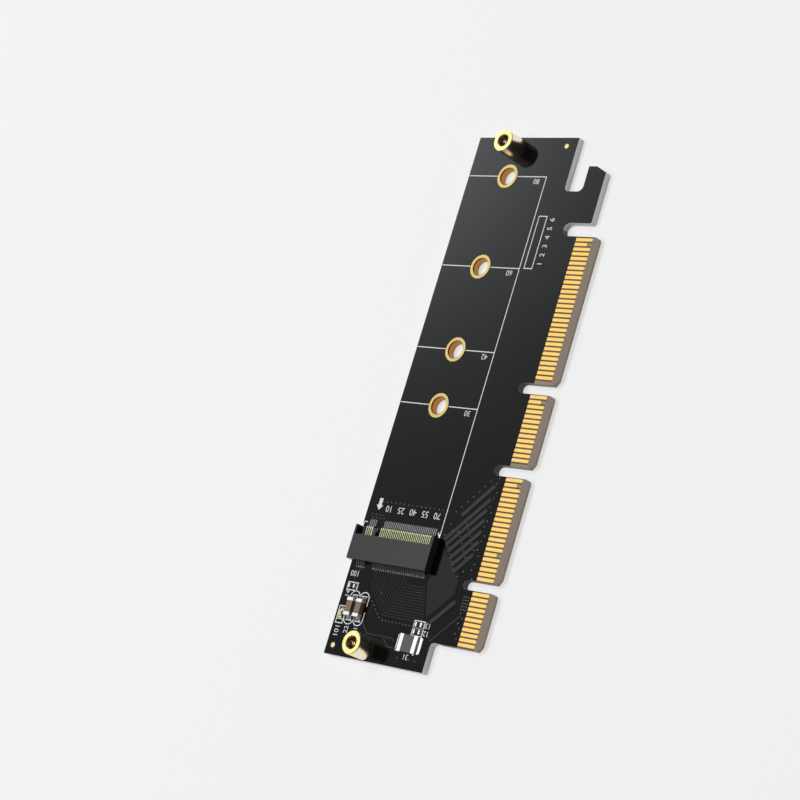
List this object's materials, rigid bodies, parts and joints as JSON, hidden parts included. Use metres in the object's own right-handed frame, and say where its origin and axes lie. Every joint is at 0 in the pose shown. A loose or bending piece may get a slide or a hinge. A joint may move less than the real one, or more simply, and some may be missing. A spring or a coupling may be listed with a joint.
{
  "type": "solid-state drive adapter card",
  "caption": "Flat plug-in card with a long gold contact edge, a drive socket, ringed screw holes and brass pillars for a heatsink.",
  "frame": {"origin": "centre of the bounding box at the underside of the board", "axes": "+X along the card from the pin-1 end towards the retention hook, +Y from the contact edge to the free long edge, +Z out of the component side"},
  "size_m": [0.1116, 0.0396, 0.006],
  "materials": {
    "solder_mask": "black satin solder mask over glass-epoxy laminate",
    "gold": "thin gold over copper, smooth",
    "print_ink": "white screen-printed ink",
    "brass": "bright turned brass",
    "tin": "reflowed tin",
    "socket_plastic": "moulded heat-proof nylon, fine grain",
    "contact_metal": "stamped copper alloy with a flash of gold",
    "capacitor_ceramic": "fired ceramic",
    "resistor_coat": "black glaze",
    "fuse_polymer": "dark printed polymer",
    "led_base": "white laminate",
    "led_lens": "clear yellow-green epoxy"
  },
  "bodies": {
    "root": {"back_fingers_1": "gold", "back_fingers_2": "gold", "back_fingers_3": "gold", "back_fingers_4": "gold", "board": "solder_mask", "capacitor_1_body": "capacitor_ceramic", "capacitor_1_ends": "tin", "capacitor_2_body": "capacitor_ceramic", "capacitor_2_ends": "tin", "front_fingers_1": "gold", "front_fingers_2": "gold", "front_fingers_3": "gold", "front_fingers_4": "gold", "fuse_body": "fuse_polymer", "fuse_ends": "tin", "led_base": "led_base", "led_ends": "tin", "led_lens": "led_lens", "plated_hole_30": "gold", "plated_hole_42": "gold", "plated_hole_60": "gold", "plated_hole_80": "gold", "resistor_1_body": "resistor_coat", "resistor_1_ends": "tin", "resistor_2_body": "resistor_coat", "resistor_2_ends": "tin", "resistor_3_body": "resistor_coat", "resistor_3_ends": "tin", "socket_housing": "socket_plastic", "socket_lower_contacts": "contact_metal", "socket_tab_inner": "tin", "socket_tab_outer": "tin", "socket_upper_contacts": "contact_metal", "solder_pads": "tin", "standoff_hook_end": "brass", "standoff_pin_end": "brass"}
  },
  "joints": []
}
